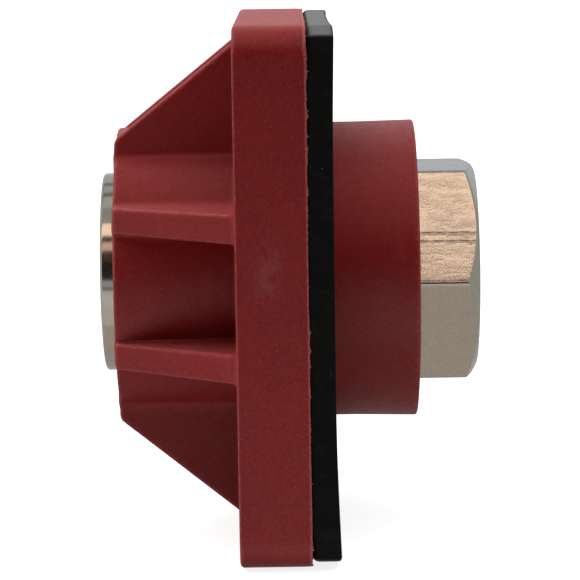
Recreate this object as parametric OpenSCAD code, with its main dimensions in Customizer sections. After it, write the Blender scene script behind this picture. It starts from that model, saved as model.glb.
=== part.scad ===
// Flanged through-hull seacock with a self-acting spring check valve inside.
// Red moulded flange, hub, ribs and boss; black gasket; nickel-plated valve
// core and hexagonal end piece. +X runs along the bore towards the hexagon,
// +Z is up, and the origin is where the bore axis meets the plane of the
// gasket's outer face, which is the plane of the hull or bulkhead.

/* [Flange] */
// Side of the square flange
flange_side = 79.2; // [76:0.2:84]
// Thickness of the flange plate
flange_t = 10.5; // [9:0.5:12]
// Radius of the flange's four corners
flange_corner_r = 4.5; // [3:0.5:7]
// Centre distance of the four bolt holes, both ways
bolt_spacing = 59; // [57:0.5:60]
// Bore of each bolt sleeve
bolt_hole_d = 6.6; // [5.5:0.1:7]
// Outside diameter of each bolt sleeve
sleeve_d = 9; // [8.5:0.5:10]

/* [Gasket] */
// Thickness of the gasket
gasket_t = 3.6; // [3:0.2:5]
// How far the gasket's edge stays inside the flange's edge
gasket_inset = 0.2; // [0.2:0.1:1]

/* [Hub and ribs] */
// Diameter of the hub in front of the flange
hub_d = 45.5; // [44.5:0.5:48]
// Length of the hub in front of the flange
hub_len = 18.6; // [18:0.2:20]
// Distance of each rib plate's middle from the bore axis
rib_offset = 10.2; // [9:0.2:11]
// Thickness of each rib
rib_t = 4.2; // [3:0.2:5]
// Half span of a rib at the flange
rib_reach = 36.4; // [32:0.2:37]
// Half span of a rib at the hub's end
rib_start = 21.5; // [19.5:0.25:22]

/* [Boss] */
// Diameter of the boss that passes through the hull
boss_d = 46; // [44:0.5:48]
// How far the boss stands out of the gasket's outer face
boss_out = 13.3; // [13:0.1:14.5]

/* [Valve core] */
// Diameter of the core's round head
head_d = 30.9; // [30:0.1:32]
// Thickness of the core's round head
head_t = 2.4; // [2:0.1:3]
// Diameter of the core's shank
shank_d = 27; // [26.6:0.1:27.4]
// Bore of the pipe thread, at its crests
port_d = 18.6; // [18:0.1:19]
// Length of the inlet thread
inlet_thread_len = 12; // [10:0.5:12.5]
// Bore of the seat
seat_d = 13; // [11:0.5:13.5]
// Bore of the valve chamber
chamber_d = 19.6; // [19.2:0.1:20]

/* [Hexagonal end piece] */
// Width across flats
hex_af = 32.3; // [31.5:0.1:33]
// Angle that the hexagon stops at when tightened
hex_turn = 1; // [0:0.5:30]
// Length of the hexagon
hex_len = 9.4; // [9:0.1:12]
// Diameter where the 30 degree chamfer meets the end face
hex_face_d = 30.56; // [29:0.2:31]
// Length of the outlet thread
outlet_thread_len = 9; // [8:0.5:9.5]

/* [Poppet] */
// Diameter of the poppet's head
poppet_d = 16; // [15:0.2:16.4]
// Diameter of the stem
stem_d = 4; // [3.6:0.1:4.2]
// Lift of the poppet off its seat
lift = 5; // [3:0.5:5]
// Wire diameter of the return spring
wire_d = 0.8; // [0.6:0.1:1]
// Mean diameter of the return spring
spring_d = 10.9; // [10.8:0.1:11.2]
// Turns of the return spring
spring_turns = 6; // [4:0.5:6]

/* [Hidden] */

// Places along the bore axis, from the hull plane
x_back = -gasket_t;                 // flange face under the gasket
x_front = x_back - flange_t;        // flange face with the ribs
x_hub = x_front - hub_len;          // end of the hub
x_head = x_hub - head_t;            // end of the core's round head
x_boss = boss_out;                  // end of the boss
x_hex = x_boss + hex_len;           // end of the hexagon

x_shank = x_boss - 0.3;             // end of the core's shank
x_relief = x_head + inlet_thread_len;
x_web = x_relief + 1;               // start of the web that carries the seat
x_pocket = x_web + 2.5;             // bottom of the seat ring's pocket
x_chamber = x_pocket + 2.5;         // start of the valve chamber
x_seat = x_pocket + 3;              // the lip that the seal closes on
x_step = x_boss - 13;               // shoulder that the stem guide rests on
guide_t = 2.5;
x_spigot = x_step + guide_t;        // inner end of the end piece's spigot

fit_gap = 0.1;                      // radial gap of the core in the moulding
pin_d = 2.5;                        // anti-rotation pin
pin_len = 8.4;
screw_d = 2.5;
seal_t = 2;
head_disc_t = 2;
spigot_r = chamber_d / 2 + 0.6;     // male thread of the end piece
thread_bore_r = chamber_d / 2 + 0.65;
waterway_r = 7.5;
bush_r = stem_d / 2 + 0.6;
guide_hub_r = 4.2;
guide_hub_x0 = x_step - 2.9;
guide_hub_x1 = x_spigot + 2.1;
x_disc = x_seat + seal_t;           // front of the poppet's head
x_stop = guide_hub_x0 - 0.3 - lift; // end of the poppet's hub, at rest
x_clip = guide_hub_x1 + 0.8;
x_stem_end = x_clip + 2.2;
washer_t = 0.6;
spring_x0 = x_disc + head_disc_t;
spring_x1 = x_step - washer_t;

o_r = 0.8;                          // section radius of the core's O-rings
o_x = [x_hub + 4.1, x_step - 1.4];  // their places
end_o_r = 0.7;
end_o_x = x_boss - 1.7;

// Solid of revolution about the bore axis from points [x, r]
module turned(pts, fn = 96)
    rotate([0, 90, 0]) rotate_extrude($fn = fn)
        polygon([for (p = pts) [p[1], p[0]]]);

// Cylinder along the bore axis from a to b
module rod(a, b, r, fn = 96)
    translate([a, 0, 0]) rotate([0, 90, 0]) cylinder(h = b - a, r = r, $fn = fn);

// Ring of round section about the bore axis
module o_ring(x, r_out, r)
    translate([x, 0, 0]) rotate([0, 90, 0]) rotate_extrude($fn = 96)
        translate([r_out - r, 0]) circle(r = r, $fn = 32);

// Square plate with round corners, from a to b
module plate(a, b, side, r)
    translate([a, 0, 0]) rotate([0, 90, 0]) linear_extrude(b - a) {
        square([side - 2 * r, side], center = true);
        square([side, side - 2 * r], center = true);
        for (i = [-1, 1], j = [-1, 1])
            translate([i * (side / 2 - r), j * (side / 2 - r)])
                circle(r = r, $fn = 48);
    }

// Places of the four bolt holes
module at_bolts()
    for (i = [-1, 1], j = [-1, 1])
        translate([0, i * bolt_spacing / 2, j * bolt_spacing / 2]) children();

// Places of the two anti-rotation pins
module at_pins()
    for (j = [-1, 1]) translate([0, 0, j * shank_d / 2]) children();

// One flat plate of two ribs, tapering from the flange to the hub's end
module rib_pair(z)
    translate([0, 0, z - rib_t / 2]) linear_extrude(rib_t)
        polygon([[x_hub, -rib_start], [x_front + 0.5, -rib_reach],
                 [x_front + 0.5, rib_reach], [x_hub, rib_start]]);

// Moulded flange, hub, eight ribs and boss, in one piece
module flange_body() {
    color([0.47, 0.12, 0.13]) difference() {
        union() {
            plate(x_front, x_back, flange_side, flange_corner_r);
            rod(x_hub, x_front + 1, hub_d / 2);
            rod(x_back - 1, 0, boss_d / 2 + 1);  // gasket's register
            rod(-1, x_boss, boss_d / 2);
            for (s = [-1, 1]) {
                rib_pair(s * rib_offset);
                rotate([90, 0, 0]) rib_pair(s * rib_offset);
            }
        }
        rod(x_hub - 1, x_boss + 1, shank_d / 2 + fit_gap);
        at_bolts() rod(x_front - 1, x_back + 1, sleeve_d / 2, 48);
        at_pins() rod(x_boss - pin_len - 0.4, x_boss + 1, pin_d / 2, 32);
    }
}

// Rubber gasket between the flange and the hull
module flange_gasket() {
    color([0.07, 0.07, 0.07]) difference() {
        plate(x_back, 0, flange_side - 2 * gasket_inset, flange_corner_r);
        rod(x_back - 1, 1, boss_d / 2 + 1.2);
        at_bolts() rod(x_back - 1, 1, bolt_hole_d / 2 + 0.2, 48);
    }
}

// Four metal sleeves that take the bolts' load through the moulding
module flange_bolt_sleeves() {
    color([0.68, 0.66, 0.62]) at_bolts() difference() {
        rod(x_front, x_back, sleeve_d / 2, 48);
        rod(x_front - 1, x_back + 1, bolt_hole_d / 2, 48);
    }
}

// Core: round head, inlet thread, seat web, valve chamber
module valve_core() {
    color([0.72, 0.70, 0.66]) difference() {
        union() {
            turned([[x_head, 0], [x_head, head_d / 2 - 0.4],
                    [x_head + 0.4, head_d / 2], [x_hub, head_d / 2], [x_hub, 0]]);
            rod(x_hub - 0.5, x_shank, shank_d / 2);
        }
        rod(x_head - 1, x_relief, port_d / 2);
        turned([[x_head - 1, 0], [x_head - 1, port_d / 2 + 2.2],
                [x_head + 1.2, port_d / 2], [x_head + 1.2, 0]]);
        rod(x_relief - 0.01, x_web, port_d / 2 + 1.1);
        rod(x_web - 1, x_pocket + 1, seat_d / 2);
        rod(x_pocket, x_chamber + 1, chamber_d / 2 - 0.9);
        rod(x_chamber, x_step + 1, chamber_d / 2);
        rod(x_step, x_shank + 1, thread_bore_r);
        for (x = o_x) difference() {
            rod(x - 1.1, x + 1.1, shank_d / 2 + 1);
            rod(x - 2, x + 2, shank_d / 2 + fit_gap - 2 * o_r);
        }
        at_pins() rod(x_boss - pin_len - 0.4, x_shank + 1, pin_d / 2, 32);
    }
}

// Seal between the core and the hub's bore
module core_inner_o_ring() {
    color([0.08, 0.08, 0.08]) o_ring(o_x[0], shank_d / 2 + fit_gap, o_r);
}

// Seal between the core and the boss's bore
module core_outer_o_ring() {
    color([0.08, 0.08, 0.08]) o_ring(o_x[1], shank_d / 2 + fit_gap, o_r);
}

// Two pins that sit half in the core and half in the boss
module anti_rotation_pins() {
    color([0.6, 0.6, 0.6]) at_pins()
        rod(x_boss - pin_len - 0.2, x_boss - 0.2, pin_d / 2 - 0.02, 32);
}

// Hexagonal end piece with its spigot, waterway and outlet thread
module hex_end_piece() {
    hex_r = hex_af / 2 / cos(30);
    run = (hex_r + 0.5 - hex_face_d / 2) * tan(30);
    color([0.74, 0.68, 0.60]) difference() {
        union() {
            intersection() {
                translate([x_boss, 0, 0]) rotate([0, 90, 0]) rotate([0, 0, 30 + hex_turn])
                    cylinder(h = hex_len, r = hex_r, $fn = 6);
                turned([[x_boss - 1, 0], [x_boss - 1, hex_r + 0.5],
                        [x_hex - run, hex_r + 0.5], [x_hex, hex_face_d / 2], [x_hex, 0]]);
            }
            rod(x_spigot, x_boss + 1, spigot_r);
        }
        rod(x_hex - outlet_thread_len, x_hex + 1, port_d / 2);
        turned([[x_hex - 1.2, 0], [x_hex - 1.2, port_d / 2],
                [x_hex + 1, port_d / 2 + 2.2], [x_hex + 1, 0]]);
        rod(x_spigot - 1, x_hex - outlet_thread_len + 1, waterway_r);
        difference() {
            rod(end_o_x - 0.9, end_o_x + 0.9, spigot_r + 1);
            rod(end_o_x - 2, end_o_x + 2, thread_bore_r - 2 * end_o_r);
        }
    }
}

// Seal between the end piece's spigot and the core
module end_piece_o_ring() {
    color([0.08, 0.08, 0.08]) o_ring(end_o_x, thread_bore_r, end_o_r);
}

// Replaceable seat ring with a raised lip
module seat_ring() {
    r = chamber_d / 2 - 0.9;
    color([0.85, 0.83, 0.78]) turned([[x_pocket, seat_d / 2], [x_pocket, r],
        [x_chamber - 0.05, r], [x_chamber - 0.05, seat_d / 2 + 1.2],
        [x_seat, seat_d / 2 + 0.8], [x_seat, seat_d / 2]]);
}

// Poppet head: disc with a hub that locates the spring and stops the lift
module poppet_head() {
    color([0.8, 0.65, 0.35]) difference() {
        turned([[x_disc, 0], [x_disc, poppet_d / 2], [x_disc + 1.4, poppet_d / 2],
                [spring_x0, poppet_d / 2 - 0.6], [spring_x0, 4.6],
                [x_stop, 4.6], [x_stop, 0]]);
        rod(x_disc - 1, x_stop + 1, stem_d / 2, 48);
    }
}

// Stem, with a groove for the clip and a tapped hole for the screw
module poppet_stem() {
    color([0.75, 0.75, 0.74]) difference() {
        turned([[x_disc, 0], [x_disc, stem_d / 2], [x_clip, stem_d / 2],
                [x_clip, stem_d / 2 - 0.5], [x_clip + 0.8, stem_d / 2 - 0.5],
                [x_clip + 0.8, stem_d / 2], [x_stem_end - 0.4, stem_d / 2],
                [x_stem_end, stem_d / 2 - 0.4], [x_stem_end, 0]], 48);
        rod(x_disc - 1, x_disc + 5, screw_d / 2, 32);
    }
}

// Rubber disc that closes on the seat's lip
module poppet_seal() {
    color([0.1, 0.1, 0.1]) difference() {
        rod(x_seat, x_disc, poppet_d / 2 - 0.2);
        rod(x_seat - 1, x_disc + 1, screw_d / 2 + 0.15, 32);
    }
}

// Washer that holds the seal against the poppet's head
module seal_retainer_washer() {
    color([0.78, 0.77, 0.74]) difference() {
        rod(x_seat - 1, x_seat, 5, 64);
        rod(x_seat - 2, x_seat + 1, screw_d / 2 + 0.15, 32);
    }
}

// Cap screw through the washer and seal into the stem
module seal_retainer_screw() {
    color([0.7, 0.7, 0.7]) difference() {
        union() {
            turned([[x_seat - 3.2, 0], [x_seat - 3.2, 2], [x_seat - 3, 2.25],
                    [x_seat - 1, 2.25], [x_seat - 1, 0]], 48);
            rod(x_seat - 1.5, x_disc + 4.5, screw_d / 2 - 0.02, 32);
        }
        translate([x_seat - 3.3, 0, 0]) rotate([0, 90, 0])
            cylinder(h = 1.4, r = 1.15, $fn = 6);
    }
}

// Point k of a ring of the spring's wire at turn angle a (degrees) and place x
function wire_point(a, x, k, n) =
    let (r = spring_d / 2 + wire_d / 2 * cos(360 * k / n))
    [x + wire_d / 2 * sin(360 * k / n), r * cos(a), r * sin(a)];

// Return spring between the poppet's head and the guide's washer
module return_spring() {
    n = 8;
    steps = 20 * spring_turns + 40;
    x0 = spring_x0 + wire_d / 2 + 0.02;
    x1 = spring_x1 - wire_d / 2 - 0.02;
    // The first and last turns lie flat
    function place(t) = let (u = t * (spring_turns + 2))
        u < 1 ? x0 + wire_d * u :
        u > spring_turns + 1 ? x1 - wire_d * (spring_turns + 2 - u) :
        x0 + wire_d + (x1 - x0 - 2 * wire_d) * (u - 1) / spring_turns;
    pts = [for (i = [0 : steps]) for (k = [0 : n - 1])
        wire_point(360 * (spring_turns + 2) * i / steps, place(i / steps), k, n)];
    sides = [for (i = [0 : steps - 1]) for (k = [0 : n - 1])
        [i * n + k, (i + 1) * n + k, (i + 1) * n + (k + 1) % n, i * n + (k + 1) % n]];
    ends = [[for (k = [0 : n - 1]) k], [for (k = [0 : n - 1]) steps * n + n - 1 - k]];
    color([0.75, 0.75, 0.76]) polyhedron(points = pts, faces = concat(sides, ends), convexity = 12);
}

// Washer between the spring and the stem guide
module spring_seat_washer() {
    color([0.78, 0.77, 0.74]) difference() {
        rod(x_step - washer_t, x_step, 6.8, 64);
        rod(x_step - 2, x_step + 1, guide_hub_r + 0.1, 64);
    }
}

// Spider that guides the stem: rim, three spokes, hub
module stem_guide() {
    rim_r = thread_bore_r - 0.05;
    color([0.86, 0.85, 0.80]) difference() {
        union() {
            translate([x_step, 0, 0]) rotate([0, 90, 0]) linear_extrude(guide_t) {
                difference() {
                    circle(r = rim_r, $fn = 96);
                    circle(r = waterway_r + 0.6, $fn = 96);
                }
                for (a = [0, 120, 240]) rotate(a)
                    translate([guide_hub_r - 1, -1]) square([rim_r - guide_hub_r - 0.2, 2]);
                circle(r = guide_hub_r, $fn = 64);
            }
            rod(guide_hub_x0, x_step + 0.5, guide_hub_r, 64);
            rod(x_spigot - 0.5, guide_hub_x1, guide_hub_r, 64);
        }
        rod(guide_hub_x0 - 1, guide_hub_x1 + 1, bush_r, 48);
    }
}

// Plain bearing for the stem
module guide_bush() {
    color([0.93, 0.93, 0.90]) difference() {
        rod(guide_hub_x0, guide_hub_x1, bush_r, 48);
        rod(guide_hub_x0 - 1, guide_hub_x1 + 1, stem_d / 2 + 0.05, 48);
    }
}

// Clip on the stem that keeps the poppet in its guide
module stem_retaining_clip() {
    color([0.45, 0.45, 0.47]) difference() {
        rod(x_clip + 0.1, x_clip + 0.7, 3.5, 64);
        rod(x_clip - 1, x_clip + 2, stem_d / 2 - 0.5, 48);
        translate([x_clip - 1, -1.2, -5]) cube([3, 2.4, 5]);
    }
}

flange_body();
flange_gasket();
flange_bolt_sleeves();
valve_core();
core_inner_o_ring();
core_outer_o_ring();
anti_rotation_pins();
hex_end_piece();
end_piece_o_ring();
seat_ring();
poppet_head();
poppet_stem();
poppet_seal();
seal_retainer_washer();
seal_retainer_screw();
return_spring();
spring_seat_washer();
stem_guide();
guide_bush();
stem_retaining_clip();
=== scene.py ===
import math

import bpy
import numpy as np
import openvdb as vdb
from mathutils import Matrix, Vector


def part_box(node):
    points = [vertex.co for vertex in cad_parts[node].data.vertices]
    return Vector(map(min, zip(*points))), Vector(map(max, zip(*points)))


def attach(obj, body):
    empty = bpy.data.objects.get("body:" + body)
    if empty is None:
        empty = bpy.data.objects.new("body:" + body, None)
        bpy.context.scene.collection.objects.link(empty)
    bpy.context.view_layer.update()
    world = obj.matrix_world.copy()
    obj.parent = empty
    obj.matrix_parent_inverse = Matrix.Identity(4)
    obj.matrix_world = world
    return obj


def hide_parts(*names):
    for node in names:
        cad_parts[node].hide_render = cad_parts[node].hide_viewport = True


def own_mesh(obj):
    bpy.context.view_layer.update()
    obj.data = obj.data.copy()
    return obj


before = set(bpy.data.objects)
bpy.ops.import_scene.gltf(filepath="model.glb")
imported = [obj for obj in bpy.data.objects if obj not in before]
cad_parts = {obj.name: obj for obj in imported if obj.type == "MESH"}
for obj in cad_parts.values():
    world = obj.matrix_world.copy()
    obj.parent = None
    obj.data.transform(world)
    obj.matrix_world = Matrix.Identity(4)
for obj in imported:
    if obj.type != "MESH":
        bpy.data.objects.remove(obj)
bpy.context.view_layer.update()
MM = 0.001
rng = np.random.default_rng(20261)

# ------------------------------------------------------------------ sizes, mm
# Places along the bore come from the frame's own boxes.


def mm(node):
    lo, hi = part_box(node)
    return np.array(lo) / MM, np.array(hi) / MM


body_lo, body_hi = mm("flange_body")
sleeve_lo, sleeve_hi = mm("flange_bolt_sleeves")
core_lo, core_hi = mm("valve_core")
hex_lo, hex_hi = mm("hex_end_piece")
gasket_lo, gasket_hi = mm("flange_gasket")
seat_lo, seat_hi = mm("seat_ring")
guide_lo, guide_hi = mm("stem_guide")
wash_lo, wash_hi = mm("spring_seat_washer")
head_lo, head_hi = mm("poppet_head")

X_HUB = body_lo[0]
X_FRONT = sleeve_lo[0]
X_BACK = sleeve_hi[0]
X_BOSS = body_hi[0]
X_HEAD = core_lo[0]
X_SHANK = core_hi[0]
X_HEX = hex_hi[0]
X_SPIGOT = hex_lo[0]
X_STEP = wash_hi[0]
HALF = body_hi[2]
CORNER_R = 4.5
HUB_R = 22.75
BOSS_R = 23.0
RIB_OFF, RIB_T = 10.2, 4.2
RIB_START, RIB_REACH = 21.5, 36.4
BOLT = sleeve_hi[2] - 4.5
HEAD_R = core_hi[2]
SHANK_R = 13.5
PORT_R = 9.3
HEX_AF = 32.3


# ------------------------------------------------------------------- helpers
def new_object(name, points, faces):
    """Smooth object from points in mm."""
    me = bpy.data.meshes.new(name)
    me.from_pydata((np.asarray(points, dtype=np.float64) * MM).tolist(), [], faces)
    me.validate()
    me.update()
    me.polygons.foreach_set("use_smooth", [True] * len(me.polygons))
    ob = bpy.data.objects.new(name, me)
    bpy.context.scene.collection.objects.link(ob)
    return ob


def sharp(ob, deg):
    """Smooth shading that breaks at edges sharper than deg."""
    ob.data.set_sharp_from_angle(angle=math.radians(deg))


def put(ob, mat, node=None, body="housing"):
    ob.data.materials.clear()
    ob.data.materials.append(mat)
    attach(ob, body)
    if node:
        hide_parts(*([node] if isinstance(node, str) else node))
    return ob


def point_attribute(ob, name, values):
    at = ob.data.attributes.new(name, "FLOAT", "POINT")
    at.data.foreach_set("value", np.asarray(values, dtype=np.float32))


# --------------------------------------------------------------- solid fields
def round_box2(a, b, ra, rb, r):
    qa, qb = np.abs(a) - (ra - r), np.abs(b) - (rb - r)
    return np.hypot(np.maximum(qa, 0), np.maximum(qb, 0)) + np.minimum(np.maximum(qa, qb), 0) - r


def meet(r, *ds):
    """Intersection whose outer edges are rounded to radius r."""
    ws = [d + r for d in ds]
    s, m = 0.0, ws[0]
    for w in ws:
        s = s + np.maximum(w, 0) ** 2
        m = np.maximum(m, w)
    return np.sqrt(s) + np.minimum(m, 0) - r


def join(a, b, r):
    """Union with an inner fillet of radius r."""
    return np.maximum(r, np.minimum(a, b)) - np.hypot(np.maximum(r - a, 0), np.maximum(r - b, 0))


def mesh_from_field(name, field, origin, step, adapt):
    """Closed mesh of the field's zero surface, with the field's own normals and an edge attribute."""
    band = 3 * step
    f = np.clip(field, -band, band).astype(np.float32)
    g = vdb.FloatGrid(band)
    g.copyFromArray(f, tolerance=1e-6)
    pts, tris, quads = g.convertToPolygons(isovalue=0.0, adaptivity=adapt)
    idx = np.asarray(pts, dtype=np.float64)
    faces = tris.tolist() + quads.tolist()
    ob = new_object(name, idx * step + np.asarray(origin), faces)
    if len(ob.data.vertices) != len(idx):
        raise RuntimeError("vertices were dropped")
    # field gradient and curvature at each vertex, by trilinear sampling
    i0 = np.clip(np.floor(idx).astype(int), 1, np.array(f.shape) - 3)
    fr = idx - i0
    grad = np.zeros((len(idx), 3))
    curv = np.zeros(len(idx))
    for dx in (0, 1):
        for dy in (0, 1):
            for dz in (0, 1):
                w = (fr[:, 0] if dx else 1 - fr[:, 0]) * (fr[:, 1] if dy else 1 - fr[:, 1]) * (fr[:, 2] if dz else 1 - fr[:, 2])
                a, b, c = i0[:, 0] + dx, i0[:, 1] + dy, i0[:, 2] + dz
                xp, xm, yp, ym, zp, zm = f[a + 1, b, c], f[a - 1, b, c], f[a, b + 1, c], f[a, b - 1, c], f[a, b, c + 1], f[a, b, c - 1]
                grad += w[:, None] * np.stack([xp - xm, yp - ym, zp - zm], 1)
                curv += w * (xp + xm + yp + ym + zp + zm - 6 * f[a, b, c]) / step ** 2
    grad /= np.maximum(np.linalg.norm(grad, axis=1), 1e-9)[:, None]
    # a field that dips inside the solid has its gradient outwards, as the faces have
    ob.data.normals_split_custom_set_from_vertices(grad.tolist())
    point_attribute(ob, "edge", np.clip(curv * 0.4, -1, 1))
    return ob


def mirrored(q, axis):
    """Full array from its half, whose index 0 is the mirror plane."""
    return np.concatenate([np.flip(q, axis)[tuple(slice(0, -1) if i == axis else slice(None) for i in range(3))], q], axis)


def axes(lo, hi, step, pad=4):
    n0, n1 = math.floor(lo / step) - pad, math.ceil(hi / step) + pad
    return np.arange(n0, n1 + 1) * step


# ------------------------------------------------------------ moulded flange
def build_flange_body(step=0.2):
    xs = axes(X_HUB, X_BOSS, step)
    ys = np.arange(int(math.ceil(HALF / step)) + 5) * step
    x = xs[:, None, None].astype(np.float32)
    y = ys[None, :, None].astype(np.float32)
    z = ys[None, None, :].astype(np.float32)
    rho = np.hypot(y, z)
    d2 = round_box2(y, z, HALF, HALF, CORNER_R)
    # edges are nearly sharp along the sides and rounder at the ends
    end = np.clip((z - 34.0) / 4.0, 0, 1)
    end = end * end * (3 - 2 * end)
    plate = meet(0.14 + 0.45 * end, meet(0.22 + 0.45 * end, d2 + 0 * x, X_FRONT - x), x - X_BACK)
    hub = meet(0.5, rho - (HUB_R - 0.012 * (X_FRONT - x)), X_HUB - x, x - (X_FRONT + 3))
    boss = meet(0.35, rho - BOSS_R - 0.02 * np.maximum(x - 4.0, 0), X_BACK - 2 - x, x - X_BOSS)
    register = meet(0.2, rho - (BOSS_R + 1), X_BACK - 2 - x, x - (X_BACK + 3.0))
    # each rib plate tapers to the hub's end and is drafted thicker towards the flange
    run, rise = X_FRONT - X_HUB, RIB_REACH - RIB_START
    ln = math.hypot(run, rise)
    half_t = RIB_T / 2 - 0.1 + 0.2 * (x - X_HUB) / run

    def rib(a, b):
        slope = ((a - RIB_START) * run - (x - X_HUB) * rise) / ln
        return meet(0.55, slope, np.abs(b - RIB_OFF) - half_t, X_HUB - x, x - (X_FRONT + 3))

    d = join(hub, np.minimum(rib(y, z), rib(z, y)), 0.6)
    d = join(plate, d, 0.7)
    d = np.minimum(d, np.minimum(boss, register))
    d = np.maximum(d, 13.6 - rho)
    d = np.maximum(d, 4.5 - np.hypot(y - BOLT, z - BOLT))
    d = np.maximum(d, -np.maximum(np.hypot(y, z - SHANK_R) - 1.25, (X_BOSS - 8.8) - x))
    full = mirrored(mirrored(d.astype(np.float32), 1), 2)
    return mesh_from_field("red_moulding", full, (xs[0], -ys[-1], -ys[-1]), step, 0.016)


def smooth_noise(n, step_count, seed):
    """Periodic smooth noise of n samples with step_count knots, -1 to 1."""
    r = np.random.default_rng(seed).uniform(-1, 1, step_count)
    t = np.linspace(0, step_count, n, endpoint=False)
    i = np.floor(t).astype(int)
    u = t - i
    u = u * u * (3 - 2 * u)
    return r[i % step_count] * (1 - u) + r[(i + 1) % step_count] * u


def flange_outline(n, inset=0.0):
    """Points of the flange's outline (y, z) evenly spaced, with outward normals."""
    s, r = HALF - inset, CORNER_R - inset
    flat = 2 * (s - r)
    arc = math.pi * r / 2
    total = 4 * (flat + arc)
    out = []
    for k in range(n):
        t = total * k / n
        q = int(t // (flat + arc))
        t -= q * (flat + arc)
        if t < flat:
            p, nr = np.array([s, -(s - r) + t]), np.array([1.0, 0.0])
        else:
            a = (t - flat) / r
            p = np.array([s - r + r * math.cos(a), s - r + r * math.sin(a)])
            nr = np.array([math.cos(a), math.sin(a)])
        c, sn = [(1, 0), (0, 1), (-1, 0), (0, -1)][q]
        rot = np.array([[c, -sn], [sn, c]])
        out.append((rot @ p, rot @ nr))
    return out


def build_flash():
    """Ragged moulding flash along the flange's parting edge."""
    n = 2600
    line = flange_outline(n)
    big = smooth_noise(n, 46, 1)
    mid = smooth_noise(n, 330, 2)
    fine = smooth_noise(n, 1300, 3)
    h = 0.02 + 0.07 * np.clip(big + 0.25, 0, 1) + 0.16 * np.clip(mid, 0, 1) * np.clip(big + 0.45, 0, 1) + 0.12 * np.clip(fine, 0, 1) * np.clip(mid + 0.5, 0, 1)
    spikes = np.random.default_rng(4).random(n) < 0.010
    h = h + spikes * 0.25 * np.clip(big + 0.7, 0, 1)
    lean = 0.05 * smooth_noise(n, 500, 5)
    pts, faces = [], []
    for k, (p, nr) in enumerate(line):
        for dx, off in ((-0.35, -0.03), (-0.35, -0.22), (h[k], -0.12 + lean[k]), (h[k] * 0.96, -0.05 + lean[k])):
            q = p + nr * off
            pts.append((X_BACK + dx, q[0], q[1]))
    for k in range(n):
        a, b = 4 * k, 4 * ((k + 1) % n)
        for j in range(4):
            faces.append((a + j, a + (j + 1) % 4, b + (j + 1) % 4, b + j))
    return new_object("moulding_flash", pts, faces)


def build_gate_nibs():
    """Small torn nibs on the edge of the boss's end face."""
    pts, faces = [], []
    r = np.random.default_rng(8)
    for k in range(26):
        a = r.uniform(0, 2 * math.pi)
        w, h = r.uniform(0.15, 0.45), r.uniform(0.05, 0.16)
        base = len(pts)
        for da, dx, dr in ((-w, -0.35, -0.02), (w, -0.35, -0.02), (w * 0.4, -0.28, h), (-w * 0.5, -0.30, h * 0.8),
                           (-w, -0.05, -0.32), (w, -0.05, -0.32)):
            aa, rr = a + da / BOSS_R, BOSS_R + dr
            pts.append((X_BOSS + dx, rr * math.cos(aa), rr * math.sin(aa)))
        for f in ((0, 1, 2, 3), (3, 2, 5, 4), (0, 3, 4), (1, 5, 2), (0, 4, 5, 1)):
            faces.append(tuple(base + i for i in f))
    return new_object("boss_edge_nibs", pts, faces)


# -------------------------------------------------------------------- gasket
GASKET_T = 3.70
GASKET_CORNER = 6.0


def build_gasket(step=0.25):
    x0 = X_BACK + 0.03
    xs = axes(x0, x0 + GASKET_T, step)
    half = gasket_hi[2]
    ys = np.arange(int(math.ceil(half / step)) + 5) * step
    x = xs[:, None, None].astype(np.float32)
    y = ys[None, :, None].astype(np.float32)
    z = ys[None, None, :].astype(np.float32)
    rho = np.hypot(y, z)
    end = np.clip((z - 33.0) / 5.0, 0, 1)
    end = end * end * (3 - 2 * end)
    # cut by hand: the sides dip towards nearly square corners
    side_a = (1.7 * (y - half + GASKET_CORNER) + GASKET_CORNER * (z - half)) / math.hypot(1.7, GASKET_CORNER)
    side_b = (1.7 * (z - half + GASKET_CORNER) + GASKET_CORNER * (y - half)) / math.hypot(1.7, GASKET_CORNER)
    outline = meet(0.3, side_a, side_b)
    outline = np.maximum(outline, np.maximum(y, z) - half)
    d = meet(0.14 + 0.25 * end, meet(0.14 + 0.8 * end, outline + 0 * x, x0 - x), x - x0 - GASKET_T)
    d = np.maximum(d, BOSS_R + 1.2 - rho)
    d = np.maximum(d, 3.5 - np.hypot(y - BOLT, z - BOLT))
    full = mirrored(mirrored(d.astype(np.float32), 1), 2)
    ob = mesh_from_field("rubber_gasket", full, (xs[0], -ys[-1], -ys[-1]), step, 0.002)
    # the free face bulges at the sheet's ends
    me = ob.data
    co = np.empty(len(me.vertices) * 3)
    me.vertices.foreach_get("co", co)
    co = co.reshape(-1, 3)
    y, z = co[:, 1] / MM, co[:, 2] / MM
    up = np.clip((z - 19) / 20, 0, 1) ** 2
    down = np.clip((-z - 14) / 25, 0, 1) ** 2
    side = np.clip((np.abs(y) - 26) / 13, 0, 1) ** 2
    lift = 0.36 * up * (0.1 + 0.9 * np.clip((np.abs(y) - 10) / 27, 0, 1) ** 1.5) + 0.66 * down * (1 + 0.12 * np.sin(y / 9 + 1)) + 0.06 * side
    co[:, 0] += lift * np.clip((co[:, 0] / MM - X_BACK) / GASKET_T, 0, 1) * MM
    # slightly wavy cut edge
    edge = np.clip((np.maximum(np.abs(y), np.abs(z)) - (half - 1.2)) / 1.2, 0, 1)
    wave = 0.05 * np.sin(z * 0.9 + 0.6 * np.sin(z * 0.37)) + 0.035 * np.sin(z * 2.3 + 1.3)
    co[:, 1] += np.sign(y) * edge * (np.abs(y) > half - 1.2) * wave * MM
    me.vertices.foreach_set("co", co.ravel())
    me.update()
    return ob


# ---------------------------------------------------------------- turned parts
def arc(cx, cr, r, a0, a1, n):
    """Points (x, radius) of an arc, angles in degrees from +x towards +radius."""
    return [(cx + r * math.cos(math.radians(a0 + (a1 - a0) * i / n)), cr + r * math.sin(math.radians(a0 + (a1 - a0) * i / n))) for i in range(n + 1)]


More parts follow.
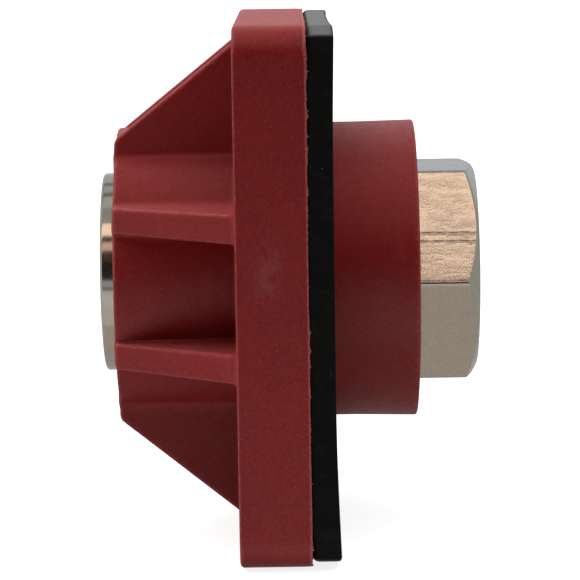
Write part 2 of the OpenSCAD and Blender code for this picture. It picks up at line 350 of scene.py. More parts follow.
def span(a, b, step):
    """Points from a to b, both (x, r), without the last."""
    n = max(1, int(round(math.hypot(b[0] - a[0], b[1] - a[1]) / step)))
    return [(a[0] + (b[0] - a[0]) * i / n, a[1] + (b[1] - a[1]) * i / n) for i in range(n)]


def turn(name, loop, thetas, shape=None):
    """Closed ring swept round the bore axis. loop is a closed profile of (x, r); shape may change r."""
    loop = np.array(loop)
    th = np.asarray(thetas)
    X = np.repeat(loop[None, :, 0], len(th), 0)
    R = np.repeat(loop[None, :, 1], len(th), 0)
    T = np.repeat(th[:, None], len(loop), 1)
    if shape:
        X, R = shape(X, R, T)
    pts = np.stack([X, R * np.cos(T), R * np.sin(T)], -1).reshape(-1, 3)
    n, m = len(th), len(loop)
    i = np.arange(n)[:, None]
    j = np.arange(m)[None, :]
    a = i * m + j
    b = ((i + 1) % n) * m + j
    c = ((i + 1) % n) * m + (j + 1) % m
    d = i * m + (j + 1) % m
    faces = np.stack([a, b, c, d], -1).reshape(-1, 4)
    # outward winding from the loop's own direction
    x, r = loop[:, 0], loop[:, 1]
    area = np.sum(x * np.roll(r, -1) - np.roll(x, -1) * r)
    if area < 0:
        faces = faces[:, ::-1]
    return new_object(name, pts, faces.tolist())


THREAD_PITCH = 1.814
THREAD_DEPTH = 1.05


def thread_r(x, th, x_mouth, sign, r_crest):
    """Radius of a female pipe thread's wall."""
    u = (sign * (x - x_mouth) / THREAD_PITCH - th / (2 * math.pi)) % 1.0
    v = np.abs(u - 0.5) * 2  # 0 in the groove's middle, 1 on the crest's middle
    g = np.clip((0.84 - v) / 0.70, 0, 1)
    return r_crest + THREAD_DEPTH * g


def build_core():
    t0 = X_HEAD + 1.2
    relief = X_HEAD + 12
    web = relief + 1
    pocket = web + 2.5
    chamber = pocket + 2.5
    cs = PORT_R + 1.25
    loop = []
    # face and rounded rim of the head
    loop += span((X_HEAD + 0.02, cs + 0.05), (X_HEAD, HEAD_R - 0.55), 0.5)
    loop += arc(X_HEAD + 0.5, HEAD_R - 0.5, 0.5, 180, 90, 6)
    loop += span((X_HEAD + 0.6, HEAD_R), (X_HUB - 0.02, HEAD_R), 0.3)
    loop += span((X_HUB - 0.02, HEAD_R), (X_HUB - 0.02, SHANK_R), 0.6)
    # shank with its two seal grooves
    x = X_HUB - 0.02
    for gx in (X_HUB + 4.1, X_STEP - 1.4):
        loop += span((x, SHANK_R), (gx - 1.1, SHANK_R), 3)
        loop += [(gx - 1.1, SHANK_R), (gx - 1.1, SHANK_R - 1.5), (gx + 1.1, SHANK_R - 1.5)]
        x = gx + 1.1
    loop += span((x, SHANK_R), (X_SHANK, SHANK_R), 3)
    loop += [(X_SHANK, SHANK_R), (X_SHANK, 10.45), (X_STEP, 10.45), (X_STEP, 9.8), (chamber, 9.8), (chamber, 8.9), (pocket, 8.9), (pocket, 6.9)]
    loop += arc(pocket - 0.4, 6.9, 0.4, 0, -90, 4)
    loop += [(web + 0.4, 6.5)] + arc(web + 0.4, 6.9, 0.4, -90, -180, 4)
    loop += [(web, 10.4), (relief, 10.4)]
    loop += span((relief - 0.02, PORT_R + THREAD_DEPTH * 0.99), (relief - 0.3, PORT_R), 0.15)
    loop += span((relief - 0.3, PORT_R), (t0, PORT_R), 0.10)
    loop += span((t0, PORT_R), (X_HEAD + 0.05, cs), 0.12)
    loop = loop[::1]
    lo_x, hi_x = t0, relief

    def shape(X, R, T):
        inside = (X < relief - 0.01) & (R < PORT_R + 0.004) & (X > t0 - 0.001)
        R2 = np.where(inside, thread_r(X, T, X_HEAD, 1, PORT_R), R)
        # the countersink cuts the thread's crests away
        cone = PORT_R + (t0 - X) * (cs - PORT_R) / (t0 - X_HEAD)
        R2 = np.where(inside, np.maximum(R2, cone), R2)
        return X, R2

    ob = turn("nickel_core", loop, np.linspace(0, 2 * math.pi, 192, endpoint=False), shape)
    sharp(ob, 35)
    return ob


HEX_TURN = 1.0  # degrees, corner at -Y lowered


def hex_thetas():
    """Angles (from +y towards +z) that crowd at the hexagon's corners."""
    offs = [0, 0.12, 0.25, 0.4, 0.6, 0.9, 1.3, 1.9, 2.8]
    t = []
    for k in range(6):
        c = 60.0 * k + HEX_TURN
        t += [c + o for o in offs] + [c - o for o in offs[1:]]
        t += list(np.arange(c + 3.9, c + 56.6, 0.9))
    # two scored lines on one flat, as the mill left them
    for a in SCORES:
        t += [a + o for o in np.arange(-1.0, 1.41, 0.1)]
    t = np.unique(np.round(np.mod(t, 360), 3))
    return np.radians(t)


# The flat that faces -Y and up has its middle at 150 degrees
SCORES = [HEX_TURN + 150 + math.degrees(math.atan(0.98 / 16.15)), HEX_TURN + 150 + math.degrees(math.atan(2.36 / 16.15))]


def build_hex():
    apothem = HEX_AF / 2
    r_face = 15.28
    t1 = X_HEX - 1.2
    inner = X_HEX - 9
    cs = PORT_R + 1.25
    hex_run = (apothem / math.cos(math.pi / 6) - r_face) * math.tan(math.radians(30))
    loop = []
    loop += span((X_BOSS + 0.02, 10.4), (X_BOSS + 0.02, 19.0), 1.0)
    loop += span((X_BOSS + 0.02, 19.0), (X_BOSS + 0.3, 19.0), 0.07)
    loop += span((X_BOSS + 0.3, 19.0), (X_HEX - hex_run - 0.8, 19.0), 0.3)
    loop += span((X_HEX - hex_run - 0.8, 19.0), (X_HEX - 0.12, 19.0), 0.07)
    loop += arc(X_HEX - 0.12, r_face + 0.02, 0.12, 60, 0, 3)[1:]
    loop += span((X_HEX, r_face - 0.15), (X_HEX, cs + 0.1), 0.6)
    loop += span((X_HEX - 0.02, cs), (t1, PORT_R), 0.12)
    loop += span((t1, PORT_R), (inner + 0.35, PORT_R), 0.10)
    loop += [(inner, PORT_R), (inner, 7.9), (inner - 0.4, 7.5), (X_SPIGOT + 0.4, 7.5), (X_SPIGOT, 7.9), (X_SPIGOT, 10.1), (X_SPIGOT + 0.3, 10.4)]
    gx = X_BOSS - 1.7
    loop += span((X_SPIGOT + 0.3, 10.4), (gx - 0.9, 10.4), 1.0)
    loop += [(gx - 0.9, 10.4), (gx - 0.9, 9.05), (gx + 0.9, 9.05), (gx + 0.9, 10.4)]

    def shape(X, R, T):
        U = T - math.radians(HEX_TURN)
        c0 = np.round((U - math.pi / 6) / (math.pi / 3)) * (math.pi / 3) + math.pi / 6
        d0 = np.cos(U - c0) / apothem
        side = np.where(np.sin(U - c0) >= 0, 1, -1) * (math.pi / 3)
        d1 = np.cos(U - c0 - side) / apothem
        p = 110.0
        rh = ((d0 * 20) ** p + (np.maximum(d1, 1e-6) * 20) ** p) ** (-1 / p) * 20
        # the score lines
        for q, a in enumerate(SCORES):
            wob = 0.045 * np.sin(X * 2.1 + q) + 0.03 * np.sin(X * 5.3 + 2 * q)
            t = (T - math.radians(a)) * 16.2 - wob
            deep = 0.032 + 0.008 * np.sin(X * 3.1 + 1.7 * q) + 0.005 * np.sin(X * 9.7 + q)
            rh = rh - deep * np.exp(-(t / 0.085) ** 2)
            rh = rh + 0.3 * deep * np.exp(-((t - 0.19) / 0.08) ** 2)
        rc = r_face + 0.10 + (X_HEX - X) * math.tan(math.radians(60))
        rb = apothem * 1.137 + (X - X_BOSS) * 1.0
        m = np.minimum(rh, rb)
        q = 150.0
        r = ((m / 20) ** -q + (rc / 20) ** -q) ** (-1 / q) * 20
        outer = R > 18.9
        R2 = np.where(outer, r, np.minimum(R, np.where(X < X_BOSS + 0.1, np.minimum(rh, rb), R)))
        inside = (R < PORT_R + 0.004) & (R > PORT_R - 0.01) & (X > inner + 0.01) & (X < t1 + 0.001)
        R3 = np.where(inside, thread_r(X, T, X_HEX, -1, PORT_R), R2)
        cone = PORT_R + (X - t1) * (cs - PORT_R) / (X_HEX - t1)
        return X, np.where(inside, np.maximum(R3, cone), R3)

    ob = turn("nickel_hexagon", loop, hex_thetas(), shape)
    sharp(ob, 28)
    return ob


def build_sleeves():
    obs = []
    pts, faces = [], []
    r0, r1, e = 3.3, 4.47, 0.3
    a, b = X_FRONT + 0.04, X_BACK - 0.04
    loop = [(a, r0 + e), (a, r1 - 0.12), (a + 0.12, r1), (b - 0.12, r1), (b, r1 - 0.12), (b, r0 + e), (b - e, r0)]
    loop += [(b - e - (b - a - 2 * e) * i / 6, r0) for i in range(1, 6)] + [(a + e, r0)]
    m, n = len(loop), 64
    for sy in (-1, 1):
        for sz in (-1, 1):
            base = len(pts)
            for i in range(n):
                t = 2 * math.pi * i / n
                for x, r in loop:
                    pts.append((x, sy * BOLT + r * math.cos(t), sz * BOLT + r * math.sin(t)))
            for i in range(n):
                for j in range(m):
                    f = (base + i * m + j, base + ((i + 1) % n) * m + j, base + ((i + 1) % n) * m + (j + 1) % m, base + i * m + (j + 1) % m)
                    faces.append(f)
    ob = new_object("bolt_sleeves", pts, faces)
    sharp(ob, 35)
    return ob


def build_spring():
    """Return spring: round wire, flat end turns."""
    turns, wire, mean = 6, 0.4, 5.45
    a = head_hi[0] - (head_hi[0] - head_lo[0]) + 2.0
    x0, x1 = a + wire + 0.02, wash_lo[0] - wire - 0.02
    per, sides = 40, 12
    total = int((turns + 2) * per)
    pts = []
    for i in range(total + 1):
        u = i / per
        if u < 1:
            x = x0 + 2 * wire * u
        elif u > turns + 1:
            x = x1 - 2 * wire * (turns + 2 - u)
        else:
            x = x0 + 2 * wire + (x1 - x0 - 4 * wire) * (u - 1) / turns
        th = 2 * math.pi * u
        w = wire * (0.25 + 0.75 * min(1, 6 * min(u, turns + 2 - u)))
        for k in range(sides):
            p = 2 * math.pi * k / sides
            r = mean + wire * math.cos(p)
            pts.append((x + w * math.sin(p), r * math.cos(th), r * math.sin(th)))
    faces = []
    for i in range(total):
        for k in range(sides):
            faces.append((i * sides + k, i * sides + (k + 1) % sides, (i + 1) * sides + (k + 1) % sides, (i + 1) * sides + k))
    faces.append(tuple(range(sides - 1, -1, -1)))
    faces.append(tuple(total * sides + k for k in range(sides)))
    ob = new_object("coil_spring", pts, faces)
    sharp(ob, 60)
    return ob


# ----------------------------------------------------------------- materials
class Mat:
    """Small helper round a node tree. Lengths are in mm."""

    def __init__(self, name):
        self.m = bpy.data.materials.new(name)
        self.m.use_nodes = True
        self.t = self.m.node_tree
        self.p = self.t.nodes["Principled BSDF"]
        self.tc = self.t.nodes.new("ShaderNodeTexCoord")

    def node(self, kind, **kw):
        n = self.t.nodes.new(kind)
        for k, v in kw.items():
            setattr(n, k, v)
        return n

    def link(self, a, b):
        self.t.links.new(a, b)

    def space(self, sx=1.0, sy=1.0, sz=1.0, off=(0, 0, 0)):
        """Object coordinates in mm, scaled."""
        n = self.node("ShaderNodeMapping")
        self.link(self.tc.outputs["Object"], n.inputs["Vector"])
        n.inputs["Scale"].default_value = (1000 * sx, 1000 * sy, 1000 * sz)
        n.inputs["Location"].default_value = off
        return n.outputs["Vector"]

    def noise(self, vec, scale, detail=2.0, rough=0.5, dist=0.0):
        n = self.node("ShaderNodeTexNoise")
        self.link(vec, n.inputs["Vector"])
        n.inputs["Scale"].default_value = scale
        n.inputs["Detail"].default_value = detail
        n.inputs["Roughness"].default_value = rough
        n.inputs["Distortion"].default_value = dist
        return n.outputs["Fac"]

    def voronoi(self, vec, scale, feature="F1"):
        n = self.node("ShaderNodeTexVoronoi", feature=feature)
        self.link(vec, n.inputs["Vector"])
        n.inputs["Scale"].default_value = scale
        return n

    def ramp(self, fac, *stops):
        n = self.node("ShaderNodeValToRGB")
        self.link(fac, n.inputs["Fac"])
        e = n.color_ramp.elements
        while len(e) < len(stops):
            e.new(0.5)
        for el, (pos, col) in zip(e, stops):
            el.position = pos
            el.color = (col, col, col, 1) if isinstance(col, (int, float)) else (*col, 1)
        return n.outputs["Color"]

    def math(self, op, a, b=None, c=None, clamp=False):
        n = self.node("ShaderNodeMath", operation=op, use_clamp=clamp)
        for i, v in enumerate((a, b, c)):
            if v is None:
                continue
            if isinstance(v, (int, float)):
                n.inputs[i].default_value = v
            else:
                self.link(v, n.inputs[i])
        return n.outputs[0]

    def mix(self, fac, a, b, kind="MIX"):
        n = self.node("ShaderNodeMix", data_type="RGBA", blend_type=kind)
        for name, v in (("Factor", fac), ("A", a), ("B", b)):
            sock = [s for s in n.inputs if s.name == name and s.enabled and s.type in ("VALUE", "RGBA")]
            sock = [s for s in sock if (s.type == "VALUE") == (name == "Factor")][0]
            if isinstance(v, (int, float)):
                sock.default_value = v
            elif isinstance(v, tuple):
                sock.default_value = (*v, 1)
            else:
                self.link(v, sock)
        return [s for s in n.outputs if s.type == "RGBA"][0]

    def bump(self, height, dist_mm, strength=1.0, normal=None):
        n = self.node("ShaderNodeBump")
        self.link(height, n.inputs["Height"])
        n.inputs["Distance"].default_value = dist_mm * MM
        n.inputs["Strength"].default_value = strength
        if normal is not None:
            self.link(normal, n.inputs["Normal"])
        return n.outputs["Normal"]

    def attr(self, name):
        n = self.node("ShaderNodeAttribute")
        n.attribute_name = name
        return n.outputs["Fac"]

    def set(self, **kw):
        for k, v in kw.items():
            s = self.p.inputs[k.replace("_", " ")]
            if isinstance(v, tuple) and len(v) == 3:
                v = (*v, 1)
            if isinstance(v, (int, float, tuple)):
                s.default_value = v
            else:
                self.link(v, s)


RED = (0.262, 0.0058, 0.0064)


def facing_up(m):
    """1 where the surface faces up, for dust that has settled and for a painted sheen on top faces."""
    n = m.node("ShaderNodeSeparateXYZ")
    g = m.node("ShaderNodeNewGeometry")
    m.link(g.outputs["Normal"], n.inputs[0])
    return n.outputs["Z"]


def tint(k, r=1.0, g=1.0, b=1.0):
    return (RED[0] * k * r, RED[1] * k * g, RED[2] * k * b)


def red_material():
    m = Mat("red_glass_nylon")
    v = m.space()
    broad = m.noise(v, 0.07, 3, 0.55, 0.4)
    cloud = m.noise(v, 0.45, 4, 0.6, 0.3)
    speck = m.noise(v, 3.6, 3, 0.75)
    grit = m.noise(v, 1.5, 3, 0.7)
    col = m.mix(m.ramp(broad, (0.35, 0.0), (0.68, 1.0)), tint(0.92), tint(1.08, 1, 1.15, 1.1))
    col = m.mix(m.math("MULTIPLY", m.ramp(cloud, (0.42, 0.0), (0.72, 1.0)), 0.40), col, tint(1.2, 1, 1.7, 1.6))
    col = m.mix(m.math("MULTIPLY", m.ramp(grit, (0.50, 0.0), (0.72, 1.0)), 0.35), col, tint(1.35, 1, 1.8, 1.7))
    col = m.mix(m.math("MULTIPLY", m.ramp(grit, (0.28, 1.0), (0.46, 0.0)), 0.40), col, tint(0.62))
    col = m.mix(m.math("MULTIPLY", m.ramp(speck, (0.53, 0.0), (0.70, 1.0)), 0.70), col, tint(1.6, 1, 3.4, 3.2))
    col = m.mix(m.math("MULTIPLY", m.ramp(speck, (0.30, 1.0), (0.46, 0.0)), 0.60), col, tint(0.46))
    # glass fibres at the surface: short pale flecks
    fib = m.voronoi(m.space(1.0, 1.0, 0.5), 1.25)
    fleck = m.ramp(fib.outputs["Distance"], (0.05, 1.0), (0.11, 0.0))
    some = m.ramp(m.noise(v, 0.8, 2), (0.50, 0.0), (0.60, 1.0))
    col = m.mix(m.math("MULTIPLY", m.math("MULTIPLY", fleck, some), 0.35), col, (0.50, 0.20, 0.19))
    # pale rubbed bloom
    bloom = m.noise(m.space(0.16, 0.16, 0.05, off=(3.1, 0, 1.2)), 1.0, 5, 0.65, 0.8)
    col = m.mix(m.math("MULTIPLY", m.ramp(bloom, (0.58, 0.0), (0.80, 1.0)), 0.22), col, (0.36, 0.11, 0.11))
    # a pale hazy patch on the near edge of the flange
    near = m.node("ShaderNodeVectorMath", operation="LENGTH")
    m.link(m.space(1 / 3.2, 1 / 4.0, 1 / 7.0, off=(9.4 / 3.2, 39.6 / 4.0, -4.4 / 7.0)), near.inputs[0])
    pale_patch = m.math("MULTIPLY", m.ramp(near.outputs["Value"], (0.2, 1.0), (1.0, 0.0)), m.ramp(m.noise(m.space(0.8, 0.8, 0.4), 1.0, 5, 0.65, 0.8), (0.40, 0.0), (0.66, 1.0)))
    col = m.mix(m.math("MULTIPLY", pale_patch, 0.45), col, (0.36, 0.10, 0.10))
    # dust on top, and a painted sheen: up-facing faces are paler pink, as if lit from above
    up = m.ramp(facing_up(m), (0.80, 0.0), (0.985, 1.0))
    up = m.math("MULTIPLY", up, m.ramp(m.noise(v, 0.9, 4, 0.65), (0.3, 0.55), (0.7, 1.0)))
    col = m.mix(m.math("MULTIPLY", up, 0.20), col, (0.44, 0.26, 0.25))
    # convex edges paler: handling wear on the moulding, and a painted highlight along the edges
    edge = m.attr("edge")
    edge_wear_and_highlight = m.math("MULTIPLY", m.ramp(edge, (0.35, 0.0), (0.95, 1.0)), m.ramp(m.noise(v, 1.6, 4, 0.7), (0.38, 0.15), (0.62, 1.0)))
    col = m.mix(m.math("MULTIPLY", edge_wear_and_highlight, 0.55), col, (0.52, 0.11, 0.10))
    m.set(Base_Color=col)
    rough = m.ramp(m.noise(v, 1.1, 4, 0.6), (0.3, 0.40), (0.7, 0.54))
    m.set(Roughness=rough, Specular_IOR_Level=0.5)
    n = m.bump(m.noise(v, 2.6, 4, 0.7), 0.042, 0.6)
    n = m.bump(m.noise(v, 0.35, 2, 0.5), 0.06, 0.5, n)
    n = m.bump(fleck, 0.012, 0.5, n)
    m.link(n, m.p.inputs["Normal"])
    return m.m


def flash_material():
    m = Mat("red_flash")
    v = m.space()
    f = m.noise(v, 2.2, 3, 0.7)
    m.set(Base_Color=m.ramp(f, (0.30, tint(1.05, 1, 1.6, 1.5)), (0.72, (0.56, 0.15, 0.14))), Roughness=0.5)
    m.link(m.bump(f, 0.03, 0.6), m.p.inputs["Normal"])
    return m.m


def rubber_material(name, base=0.0026, rough=(0.50, 0.70), spec=0.14, dust_and_sheen=0.0):
    m = Mat(name)
    v = m.space()
    f = m.noise(v, 1.6, 4, 0.65)
    b = m.noise(v, 0.12, 3, 0.5)
    col = m.mix(m.ramp(b, (0.35, 0.0), (0.7, 1.0)), (base * 0.85, base * 0.85, base * 0.83), (base * 1.25, base * 1.22, base * 1.18))
    dust = m.voronoi(v, 0.38)
    d = m.ramp(dust.outputs["Distance"], (0.035, 1.0), (0.06, 0.0))
    pick = m.ramp(m.noise(v, 0.21, 1), (0.55, 0.0), (0.60, 1.0))
    col = m.mix(m.math("MULTIPLY", m.math("MULTIPLY", d, pick), 0.5), col, (0.35, 0.30, 0.28))
    film = m.noise(v, 0.5, 5, 0.7, 0.6)
    col = m.mix(m.math("MULTIPLY", m.ramp(film, (0.55, 0.0), (0.8, 1.0)), 0.15), col, (0.10, 0.095, 0.09))
    # dust, and a painted sheen: up-facing faces are paler grey, as if lit from above
    if dust_and_sheen:
        up = m.ramp(facing_up(m), (0.50, 0.0), (0.86, 0.35), (0.98, 1.0))
        col = m.mix(m.math("MULTIPLY", up, dust_and_sheen), col, (0.15, 0.152, 0.143))
    m.set(Base_Color=col, Roughness=m.ramp(f, (0.3, rough[0]), (0.7, rough[1])), Specular_IOR_Level=spec)
    n = m.bump(f, 0.012, 0.6)
    n = m.bump(m.noise(m.space(0.15, 3.0, 3.0), 1.0, 2), 0.006, 0.5, n)
    m.link(n, m.p.inputs["Normal"])
    return m.m


NICKEL = (0.66, 0.605, 0.54)


def hex_material():
    """Milled and plated flats: fine grain with streaks along the bore."""
    m = Mat("nickel_milled")
    v = m.space()
    grain = m.noise(v, 4.2, 3, 0.72)
    mott = m.noise(v, 0.8, 4, 0.6, 0.3)
    streak = m.noise(m.space(0.55, 3.4, 3.4), 1.0, 3, 0.65)
    fine = m.noise(m.space(4.0, 9.0, 9.0), 1.0, 2, 0.6)
    patch = m.ramp(m.noise(m.space(0.25, 0.7, 0.7), 1.0, 2, 0.5), (0.40, 0.25), (0.62, 1.0))
    col = m.mix(m.ramp(mott, (0.35, 0.0), (0.7, 1.0)), tuple(c * 0.93 for c in NICKEL), NICKEL)
    pits = m.ramp(grain, (0.33, 1.0), (0.43, 0.0))
    col = m.mix(m.math("MULTIPLY", pits, 0.62), col, (0.30, 0.24, 0.19))
    m.set(Base_Color=col, Metallic=1.0, Roughness=m.ramp(mott, (0.3, 0.10), (0.7, 0.15)))
    n = m.bump(m.math("MULTIPLY", grain, patch), 0.046, 0.60)
    n = m.bump(m.math("MULTIPLY", streak, patch), 0.006, 0.6, n)
    n = m.bump(fine, 0.006, 0.5, n)
    m.link(n, m.p.inputs["Normal"])
    return m.m


def core_material():
    """Turned and plated: bright, with fine rings."""
    m = Mat("nickel_turned")
    v = m.space()
    mott = m.noise(v, 0.9, 4, 0.6)
    rings = m.noise(m.space(6.0, 0.05, 0.05), 1.0, 2, 0.5)
    col = m.mix(m.ramp(mott, (0.35, 0.0), (0.7, 1.0)), tuple(c * 0.93 for c in NICKEL), NICKEL)
    m.set(Base_Color=col, Metallic=1.0, Roughness=m.ramp(mott, (0.3, 0.11), (0.7, 0.16)))
    n = m.bump(rings, 0.004, 0.4)
    n = m.bump(m.noise(v, 1.8, 3, 0.6), 0.004, 0.5, n)
    m.link(n, m.p.inputs["Normal"])
    return m.m


def metal_material(name, color, rough, ring_scale=5.0, bump_mm=0.006):
    m = Mat(name)
    v = m.space()
    mott = m.noise(v, 0.9, 4, 0.6)
    rings = m.noise(m.space(ring_scale, 0.05, 0.05), 1.0, 2, 0.5)
    col = m.mix(m.ramp(mott, (0.35, 0.0), (0.7, 1.0)), tuple(c * 0.88 for c in color), color)
    m.set(Base_Color=col, Metallic=1.0, Roughness=m.ramp(mott, (0.3, rough * 0.85), (0.7, rough * 1.2)))
    n = m.bump(rings, bump_mm, 0.5)
    m.link(n, m.p.inputs["Normal"])
    return m.m


def plastic_material(name, color, rough):
    m = Mat(name)
    v = m.space()
    mott = m.noise(v, 0.7, 4, 0.6)
    col = m.mix(m.ramp(mott, (0.35, 0.0), (0.7, 1.0)), tuple(c * 0.9 for c in color), color)
    m.set(Base_Color=col, Roughness=m.ramp(mott, (0.3, rough * 0.85), (0.7, rough * 1.15)))
    m.link(m.bump(m.noise(v, 3.0, 3, 0.6), 0.006, 0.5), m.p.inputs["Normal"])
    return m.m


# ---------------------------------------------------------------------- build
red = red_material()
put(build_flange_body(), red, "flange_body", "housing")
flash = flash_material()
put(build_flash(), flash, None, "housing")
put(build_gate_nibs(), flash, None, "housing")
put(build_gasket(), rubber_material("gasket_rubber", dust_and_sheen=0.95), "flange_gasket", "housing")
put(build_core(), core_material(), "valve_core", "housing")
put(build_hex(), hex_material(), "hex_end_piece", "housing")
stainless = metal_material("stainless", (0.60, 0.59, 0.57), 0.28)
put(build_sleeves(), stainless, "flange_bolt_sleeves", "housing")
wire = metal_material("spring_wire", (0.52, 0.52, 0.53), 0.24, 1.0, 0.002)
spring = put(build_spring(), wire, "return_spring", "housing")
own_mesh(spring)

oring = rubber_material("o_ring_rubber", 0.014, (0.30, 0.42))
brass = metal_material("turned_brass", (0.78, 0.58, 0.28), 0.25)
acetal = plastic_material("white_acetal", (0.78, 0.76, 0.70), 0.40)
ptfe = plastic_material("white_ptfe", (0.86, 0.86, 0.84), 0.45)
core_mat = bpy.data.materials["nickel_turned"]
for node, mat in {
    "core_inner_o_ring": oring, "core_outer_o_ring": oring, "end_piece_o_ring": oring, "poppet_seal": oring,
    "anti_rotation_pins": stainless, "seal_retainer_washer": stainless, "seal_retainer_screw": stainless,
    "poppet_stem": stainless, "spring_seat_washer": stainless, "seat_ring": core_mat, "poppet_head": brass,
    "stem_guide": acetal, "guide_bush": ptfe, "stem_retaining_clip": wire,
}.items():
    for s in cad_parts[node].material_slots:
        s.material = mat

# ---------------------------------------------------------------- floor, light
scene = bpy.context.scene
scene.view_settings.view_transform = "Standard"
scene.view_settings.look = "None"
scene.view_settings.exposure = 0
scene.view_settings.gamma = 1

FLOOR_GLOW = 0.84
WORLD = 0.02
# name, azimuth, elevation, angle, strength; diffuse light only
SUNS = [
    ("overhead", 0, 88, 60, 1.11),
    ("left_high", -90, 50, 50, 0.44),
    ("left_back_high", -130, 50, 50, 1.69),
    ("left_end", -90, 5, 50, 0.69),
    ("right_front_low", 50, 0, 60, 0.05),
    ("right_high", 90, 50, 50, 0.94),
    ("below", 0, -50, 80, 0.38),
    ("back_low", 180, 10, 70, 1.60),
]
# name, middle (m), size (m), direction it faces, watts; diffuse light only
CARDS = [
    ("floor_front", (0.0, -0.11, -0.039), (0.40, 0.14), (0, 0, 1), 0.100),
]
FLOOR_Z = min(body_lo[2], gasket_lo[2]) * MM - 0.00005
me = bpy.data.meshes.new("floor")
me.from_pydata([(-9, -9, FLOOR_Z), (9, -9, FLOOR_Z), (9, 9, FLOOR_Z), (-9, 9, FLOOR_Z)], [], [(0, 1, 2, 3)])
floor = bpy.data.objects.new("floor", me)
scene.collection.objects.link(floor)
fm = Mat("pale_floor")
fm.set(Base_Color=fm.mix(fm.ramp(fm.noise(fm.space(), 0.004, 3), (0.3, 0.0), (0.7, 1.0)), (0.42, 0.42, 0.42), (0.44, 0.44, 0.44)), Roughness=0.9, Specular_IOR_Level=0.1)
fm.set(Emission_Color=(1.0, 1.0, 1.0), Emission_Strength=FLOOR_GLOW)
floor.data.materials.append(fm.m)
floor.visible_diffuse = False
floor.visible_glossy = False
floor.visible_shadow = False

world = bpy.data.worlds.new("studio")
scene.world = world
world.use_nodes = True
world.node_tree.nodes["Background"].inputs["Color"].default_value = (1, 1, 1, 1)
world.node_tree.nodes["Background"].inputs["Strength"].default_value = WORLD


def sun(name, az, el, angle, strength, color=(1, 1, 1)):
    """Soft light from azimuth az (0 is the camera's side, 90 is +X) and elevation el."""
    d = bpy.data.lights.new(name, "SUN")
    d.energy, d.color, d.angle = strength, color, math.radians(angle)
    o = bpy.data.objects.new(name, d)
    a, e = math.radians(az), math.radians(el)
    direction = Vector((math.sin(a) * math.cos(e), -math.cos(a) * math.cos(e), math.sin(e)))
    o.rotation_euler = direction.to_track_quat("Z", "Y").to_euler()
    o.visible_glossy = False
    scene.collection.objects.link(o)
    return o


def card(name, at, size, facing, watts, color=(1, 1, 1)):
    d = bpy.data.lights.new(name, "AREA")
    d.shape, d.size, d.size_y = "RECTANGLE", size[0], size[1]
    d.energy, d.color = watts, color
    o = bpy.data.objects.new(name, d)
    o.location = at
    o.rotation_euler = (-Vector(facing)).to_track_quat("Z", "Y").to_euler()
    o.visible_glossy = False
    o.visible_camera = False
    scene.collection.objects.link(o)
    return o


for row in SUNS:
    sun(*row)
for row in CARDS:
    card(*row)

# Reflector strips round the bore axis, seen only in reflections: (from, to) degrees of
# elevation from the camera's side over the top, radiance, colour
STRIPS = [
    (-180, -140, (0.42, 0.40, 0.40)),
    (-140, -90, (0.40, 0.36, 0.345)),
    (-90, -58, (0.42, 0.385, 0.345)),
    (-58, -34, (0.545, 0.52, 0.495)),
    (-34, -15, (0.58, 0.575, 0.575)),
    (-15, -11, (0.15, 0.15, 0.15)),
    (-11, -3, (0.36, 0.385, 0.385)),
    (-3, 18, (0.02, 0.017, 0.017)),
    (18, 31, (0.07, 0.045, 0.035)),
    (31, 41, (0.82, 0.54, 0.44)),
    (41, 48.5, (0.07, 0.05, 0.04)),
    (48.5, 64, (1.40, 1.08, 0.86)),
    (64, 86, (0.32, 0.336, 0.316)),
    (86, 104, (0.468, 0.487, 0.464)),
    (104, 111, (0.15, 0.17, 0.16)),
    (111, 126, (0.425, 0.463, 0.45)),
    (126, 133, (0.18, 0.20, 0.20)),
    (133, 160, (0.46, 0.49, 0.50)),
    (160, 180, (0.50, 0.54, 0.57)),
]


def strip(i, a0, a1, glow):
    n = max(2, int(abs(a1 - a0) / 3))
    r, w = 0.85, 0.75
    pts, faces = [], []
    for k in range(n + 1):
        a = math.radians(a0 + (a1 - a0) * k / n)
        for x in (-w, w):
            pts.append((x, -r * math.cos(a), r * math.sin(a)))
    for k in range(n):
        faces.append((2 * k, 2 * k + 1, 2 * k + 3, 2 * k + 2))
    me = bpy.data.meshes.new(f"reflector_{i}")
    me.from_pydata(pts, [], faces)
    glossy_only(f"reflector_{i}", me, glow)


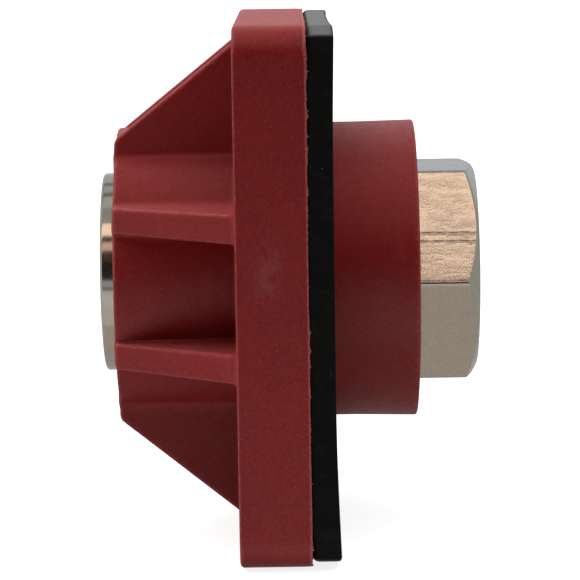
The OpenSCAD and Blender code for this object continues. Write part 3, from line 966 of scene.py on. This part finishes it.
def glossy_only(name, me, glow):
    ob = bpy.data.objects.new(name, me)
    scene.collection.objects.link(ob)
    mt = bpy.data.materials.new(name)
    mt.use_nodes = True
    t = mt.node_tree
    t.nodes.clear()
    em = t.nodes.new("ShaderNodeEmission")
    em.inputs["Color"].default_value = (*glow, 1)
    em.inputs["Strength"].default_value = 1.0
    out = t.nodes.new("ShaderNodeOutputMaterial")
    t.links.new(em.outputs[0], out.inputs["Surface"])
    mt.cycles.emission_sampling = "NONE"
    ob.data.materials.append(mt)
    ob.visible_camera = False
    ob.visible_diffuse = False
    ob.visible_shadow = False
    ob.visible_transmission = False
    ob.visible_volume_scatter = False


def end_card(name, x, glow):
    """Round-the-bore reflections at the ends: a large glossy-only card."""
    me = bpy.data.meshes.new(name)
    me.from_pydata([(x, -0.9, -0.9), (x, 0.9, -0.9), (x, 0.9, 0.9), (x, -0.9, 0.9)], [], [(0, 1, 2, 3)])
    glossy_only(name, me, glow)


for i, (a0, a1, glow) in enumerate(STRIPS):
    strip(i, a0, a1, glow)
end_card("reflector_right", 0.76, (0.36, 0.38, 0.35))
end_card("reflector_left", -0.76, (0.50, 0.51, 0.49))

# --------------------------------------------------------------------- camera
# The photograph's view: 7.5 degrees above the bore, square to it, tilted by under a degree
K = 46.0 / 292.0  # mm for each unit of the camera's fit
EL, ROLL = math.radians(7.524), math.radians(-0.866)
back = Vector((0, -math.cos(EL), math.sin(EL)))
right = Vector((0, 0, 1)).cross(back).normalized()
up = back.cross(right)
r2 = right * math.cos(ROLL) + up * math.sin(ROLL)
u2 = -right * math.sin(ROLL) + up * math.cos(ROLL)
shift_x = X_BACK - 11.73 * K
target = Vector((-5.09 * K + shift_x, 0, -21.33 * K)) * MM
loc = target + back * (2824.3 * K * MM)
cam_data = bpy.data.cameras.new("camera")
cam_data.sensor_width = 36
cam_data.lens = 2828.35 / 580 * 36
cam_data.clip_start, cam_data.clip_end = 0.01, 50
cam = bpy.data.objects.new("camera", cam_data)
cam.matrix_world = Matrix(((r2.x, u2.x, back.x, loc.x), (r2.y, u2.y, back.y, loc.y), (r2.z, u2.z, back.z, loc.z), (0, 0, 0, 1)))
scene.collection.objects.link(cam)
scene.camera = cam
